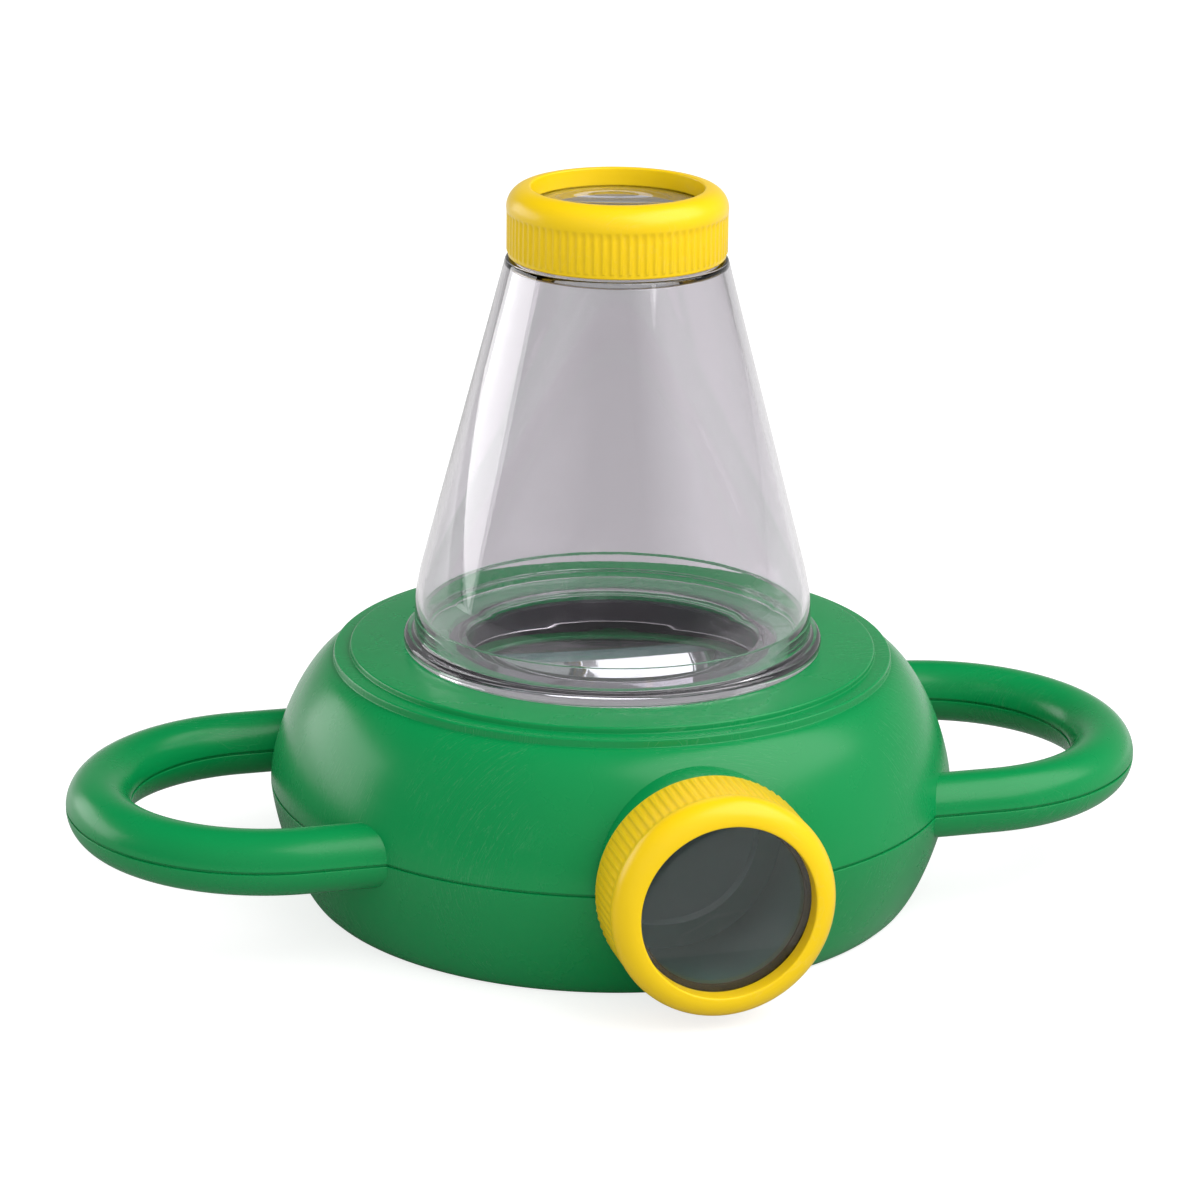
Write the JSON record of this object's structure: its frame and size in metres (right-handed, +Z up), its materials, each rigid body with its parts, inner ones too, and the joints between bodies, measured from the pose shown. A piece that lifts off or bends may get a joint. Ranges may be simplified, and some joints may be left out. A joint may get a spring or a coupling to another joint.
{
  "type": "two-way insect viewer jar",
  "caption": "Clear conical insect jar on a round base with loop handles, a magnifier screw cap on top and a side eyepiece that views the jar's clear floor through a mirror.",
  "frame": {"origin": "centre of the base's flat underside, on the surface that it stands on", "axes": "+Z up along the axis of the jar, X along the two handles, -Y towards the side eyepiece"},
  "size_m": [0.2412, 0.1656, 0.1572],
  "materials": {
    "green_plastic": "glossy injection moulding",
    "yellow_plastic": "glossy injection moulding with fine grip ribs",
    "clear_plastic": "clear polystyrene, polished",
    "lens_plastic": "clear acrylic, polished",
    "black_plastic": "black moulding, satin",
    "mirror_plate": "front-silvered plate",
    "screw_steel": "zinc-plated self-tapping screws"
  },
  "bodies": {
    "base": {"upper_shell": "green_plastic", "lower_shell": "green_plastic", "stage_window": "clear_plastic", "stage_ring": "black_plastic", "eyepiece_tube": "black_plastic", "mirror": "mirror_plate", "mirror_housing": "black_plastic", "shell_screws": "screw_steel", "housing_screws": "screw_steel"},
    "jar": {"cone_chamber": "clear_plastic"},
    "cap_optic": {"cap_lens": "lens_plastic", "cap_lens_retainer": "black_plastic"},
    "cap": {"cap_ring": "yellow_plastic"},
    "eyepiece_optic": {"eyepiece_lens": "lens_plastic", "eyepiece_lens_retainer": "black_plastic"},
    "eyepiece": {"eyepiece_ring": "yellow_plastic"}
  },
  "joints": [
    {"name": "jar_lift", "type": "slide", "parent": "base", "child": "jar", "axis": [0, 0, 1], "range_m": [0, 0.03]},
    {"name": "cap_rise", "type": "slide", "parent": "jar", "child": "cap_optic", "axis": [0, 0, 1], "range_m": [0, 0.01]},
    {"name": "cap_turn", "type": "hinge", "parent": "cap_optic", "child": "cap", "pos_m": [0, 0, 0.15], "axis": [0, 0, 1], "range_deg": [0, 900]},
    {"name": "eyepiece_rise", "type": "slide", "parent": "base", "child": "eyepiece_optic", "axis": [0, -1, 0], "range_m": [0, 0.01]},
    {"name": "eyepiece_turn", "type": "hinge", "parent": "eyepiece_optic", "child": "eyepiece", "pos_m": [0, -0.08, 0.0268], "axis": [0, -1, 0], "range_deg": [0, 900]}
  ],
  "couplings": [
    {"joint": "cap_rise", "follows": "cap_turn", "m_per_rad": 0.00063662},
    {"joint": "eyepiece_rise", "follows": "eyepiece_turn", "m_per_rad": 0.00063662}
  ]
}
